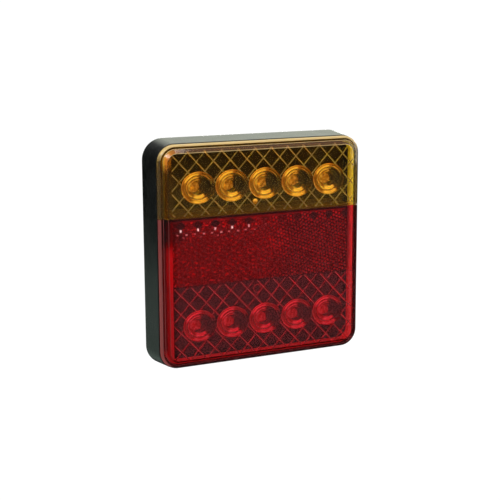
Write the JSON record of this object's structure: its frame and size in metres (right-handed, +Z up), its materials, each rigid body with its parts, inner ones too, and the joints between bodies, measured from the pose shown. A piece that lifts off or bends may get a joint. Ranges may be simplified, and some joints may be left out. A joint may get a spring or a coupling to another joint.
{
  "type": "trailer tail light",
  "caption": "Square sealed trailer rear lamp with an amber indicator row, a red stop and tail row, a reflex reflector band, rear bolt mounting and a cable tail.",
  "frame": {"origin": "centre of the flat rear mounting face", "axes": "+Z up, the lens faces -Y, +Y points out of the rear face along the bolts, +X to the right seen from the front"},
  "size_m": [0.0998, 0.0466, 0.1006],
  "materials": {
    "housing_black": "moulded black ABS, satin",
    "amber_lens": "transparent amber acrylic, polished",
    "red_lens": "transparent red acrylic, polished",
    "sealant": "black sealing bead",
    "reflex_red": "red acrylic with cube-corner prisms on its rear",
    "backing_grey": "light grey ABS",
    "divider_black": "opaque black ABS",
    "board_black": "glass-fibre board with black solder mask",
    "led_amber": "water-clear epoxy, amber emitter",
    "led_red": "tinted epoxy, red emitter",
    "screw_steel": "plated steel",
    "resistor_body": "lacquered film resistor",
    "diode_body": "black epoxy",
    "zinc_steel": "zinc-plated steel",
    "rubber_black": "black rubber",
    "cable_black": "black PVC jacket",
    "wire_white": "PVC insulation",
    "wire_yellow": "PVC insulation",
    "wire_red": "PVC insulation",
    "wire_brown": "PVC insulation"
  },
  "bodies": {
    "lamp": {"rear_housing": "housing_black", "lens_amber": "amber_lens", "lens_red": "red_lens", "lens_seal_bead": "sealant", "reflex_plate": "reflex_red", "reflex_backing": "backing_grey", "light_divider": "divider_black", "circuit_board": "board_black", "cable_grommet": "rubber_black", "cable_sleeve": "cable_black", "amber_led_1": "led_amber", "amber_led_2": "led_amber", "amber_led_3": "led_amber", "amber_led_4": "led_amber", "amber_led_5": "led_amber", "red_led_1": "led_red", "red_led_2": "led_red", "red_led_3": "led_red", "red_led_4": "led_red", "red_led_5": "led_red", "board_screw_1": "screw_steel", "resistor_1": "resistor_body", "board_screw_2": "screw_steel", "resistor_2": "resistor_body", "board_screw_3": "screw_steel", "resistor_3": "resistor_body", "board_screw_4": "screw_steel", "resistor_4": "resistor_body", "blocking_diode_1": "diode_body", "blocking_diode_2": "diode_body", "blocking_diode_3": "diode_body", "stud_left": "zinc_steel", "stud_right": "zinc_steel", "lead_white": "wire_white", "lead_yellow": "wire_yellow", "lead_red": "wire_red", "lead_brown": "wire_brown"},
    "cable_tail": {"cable_tail": "cable_black", "core_white": "wire_white", "core_yellow": "wire_yellow", "core_red": "wire_red", "core_brown": "wire_brown"},
    "left_washers": {"washer_left": "zinc_steel", "lock_washer_left": "zinc_steel"},
    "left_nut": {"nut_left": "zinc_steel"},
    "right_washers": {"washer_right": "zinc_steel", "lock_washer_right": "zinc_steel"},
    "right_nut": {"nut_right": "zinc_steel"}
  },
  "joints": [
    {"name": "left_nut_travel", "type": "slide", "parent": "lamp", "child": "left_washers", "axis": [0, 1, 0], "range_m": [0, 0.008]},
    {"name": "left_nut_turn", "type": "hinge", "parent": "left_washers", "child": "left_nut", "pos_m": [-0.025, 0.0071, 0], "axis": [0, 1, 0], "range_deg": [0, 3600]},
    {"name": "right_nut_travel", "type": "slide", "parent": "lamp", "child": "right_washers", "axis": [0, 1, 0], "range_m": [0, 0.008]},
    {"name": "right_nut_turn", "type": "hinge", "parent": "right_washers", "child": "right_nut", "pos_m": [0.025, 0.0071, 0], "axis": [0, 1, 0], "range_deg": [0, 3600]},
    {"name": "cable_flex", "type": "hinge", "parent": "lamp", "child": "cable_tail", "pos_m": [0, 0.0133, -0.014], "axis": [1, 0, 0], "range_deg": [-25, 45]}
  ],
  "couplings": [
    {"joint": "left_nut_turn", "follows": "left_nut_travel", "rad_per_m": 7854},
    {"joint": "right_nut_turn", "follows": "right_nut_travel", "rad_per_m": 7854}
  ]
}
